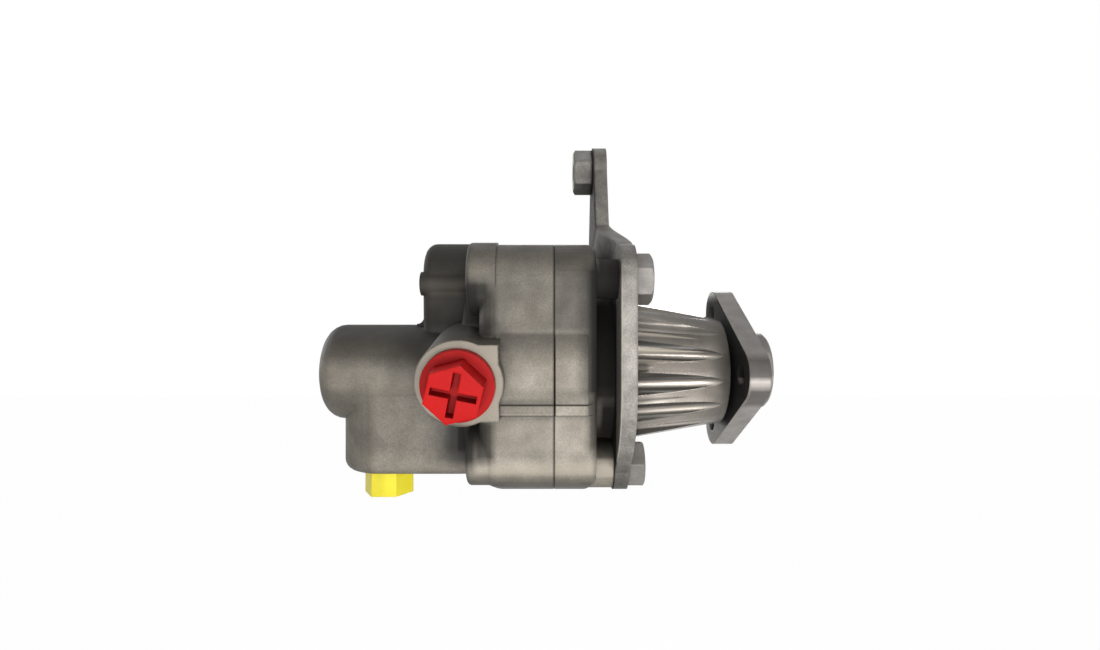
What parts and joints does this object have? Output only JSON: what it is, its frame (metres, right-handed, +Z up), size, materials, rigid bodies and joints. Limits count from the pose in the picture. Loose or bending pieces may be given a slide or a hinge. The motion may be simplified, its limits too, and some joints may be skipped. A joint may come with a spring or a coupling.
{
  "type": "power steering pump",
  "caption": "Vane type power steering pump with cast housings, fluted nose, cranked mounting bracket, lobed drive hub, flow valve and plugged ports.",
  "frame": {"origin": "on the shaft's axis at the face of the drive hub that the pulley seats on", "axes": "+X along the shaft and out of the drive end, +Z up along the bracket's arm, -Y out of the inlet"},
  "size_m": [0.142, 0.1074, 0.1145],
  "materials": {
    "nose_casting": "fine cast, slightly blasted",
    "body_casting": "cast, matt",
    "bracket_steel": "plated, satin",
    "bolt_steel": "plated, satin",
    "hub_steel": "plated, satin",
    "bright_steel": "ground",
    "sintered_steel": "sintered and ground",
    "spring_steel": "blued",
    "bronze": "bearing bronze",
    "rubber": "moulded",
    "red_plastic": "moulded, satin",
    "yellow_plastic": "moulded, satin"
  },
  "bodies": {
    "pump": {"front_housing": "nose_casting", "rear_housing": "body_casting", "mounting_bracket": "bracket_steel", "arm_nut": "bracket_steel", "upper_bolt": "bolt_steel", "short_bolts": "bolt_steel", "housing_screws": "bolt_steel", "bearing_outer_ring": "bright_steel", "bearing_circlip": "spring_steel", "shaft_seal": "rubber", "front_side_plate": "sintered_steel", "plain_bush": "bronze", "cam_ring": "sintered_steel", "pressure_plate": "sintered_steel", "disc_spring": "spring_steel", "dowel_pins": "bright_steel", "housing_seal_ring": "rubber", "valve_spring": "spring_steel", "valve_stop_ring": "spring_steel", "inlet_plug": "red_plastic", "outlet_plug": "yellow_plastic"},
    "drive": {"drive_hub": "hub_steel", "drive_shaft": "bright_steel", "rotor": "sintered_steel", "rotor_circlip": "spring_steel", "bearing_inner_ring": "bright_steel", "shaft_circlip": "spring_steel"},
    "ball_cage": {"bearing_balls": "bright_steel", "bearing_cage": "bronze"},
    "flow_valve": {"valve_spool": "bright_steel", "relief_ball": "bright_steel", "relief_spring": "spring_steel", "relief_seat": "bronze"},
    "vane_1": {"vane_1": "bright_steel"},
    "vane_2": {"vane_2": "bright_steel"},
    "vane_3": {"vane_3": "bright_steel"},
    "vane_4": {"vane_4": "bright_steel"},
    "vane_5": {"vane_5": "bright_steel"},
    "vane_6": {"vane_6": "bright_steel"},
    "vane_7": {"vane_7": "bright_steel"},
    "vane_8": {"vane_8": "bright_steel"},
    "vane_9": {"vane_9": "bright_steel"},
    "vane_10": {"vane_10": "bright_steel"}
  },
  "joints": [
    {"name": "shaft_spin", "type": "hinge", "parent": "pump", "child": "drive", "pos_m": [0, 0, 0], "axis": [1, 0, 0], "continuous": true},
    {"name": "cage_spin", "type": "hinge", "parent": "pump", "child": "ball_cage", "pos_m": [0, 0, 0], "axis": [1, 0, 0], "continuous": true},
    {"name": "valve_slide", "type": "slide", "parent": "pump", "child": "flow_valve", "axis": [-1, 0, 0], "range_m": [0, 0.007], "stiffness_N_per_m": 2000, "springref_m": -0.006, "deforming": ["valve_spring"]},
    {"name": "vane_1_slide", "type": "slide", "parent": "drive", "child": "vane_1", "axis": [0, 1, 0], "range_m": [-0.0012, 0.002]},
    {"name": "vane_2_slide", "type": "slide", "parent": "drive", "child": "vane_2", "axis": [0, 0.809, 0.5878], "range_m": [-0.0012, 0.0013]},
    {"name": "vane_3_slide", "type": "slide", "parent": "drive", "child": "vane_3", "axis": [0, 0.309, 0.9511], "range_m": [-0.0012, 0.0002]},
    {"name": "vane_4_slide", "type": "slide", "parent": "drive", "child": "vane_4", "axis": [0, -0.309, 0.9511], "range_m": [-0.0012, 0.0002]},
    {"name": "vane_5_slide", "type": "slide", "parent": "drive", "child": "vane_5", "axis": [0, -0.809, 0.5878], "range_m": [-0.0012, 0.0013]},
    {"name": "vane_6_slide", "type": "slide", "parent": "drive", "child": "vane_6", "axis": [0, -1, 0], "range_m": [-0.0012, 0.002]},
    {"name": "vane_7_slide", "type": "slide", "parent": "drive", "child": "vane_7", "axis": [0, -0.809, -0.5878], "range_m": [-0.0012, 0.0013]},
    {"name": "vane_8_slide", "type": "slide", "parent": "drive", "child": "vane_8", "axis": [0, -0.309, -0.9511], "range_m": [-0.0012, 0.0002]},
    {"name": "vane_9_slide", "type": "slide", "parent": "drive", "child": "vane_9", "axis": [0, 0.309, -0.9511], "range_m": [-0.0012, 0.0002]},
    {"name": "vane_10_slide", "type": "slide", "parent": "drive", "child": "vane_10", "axis": [0, 0.809, -0.5878], "range_m": [-0.0012, 0.0013]}
  ],
  "couplings": [
    {"joint": "cage_spin", "follows": "shaft_spin", "ratio": 0.38936}
  ]
}
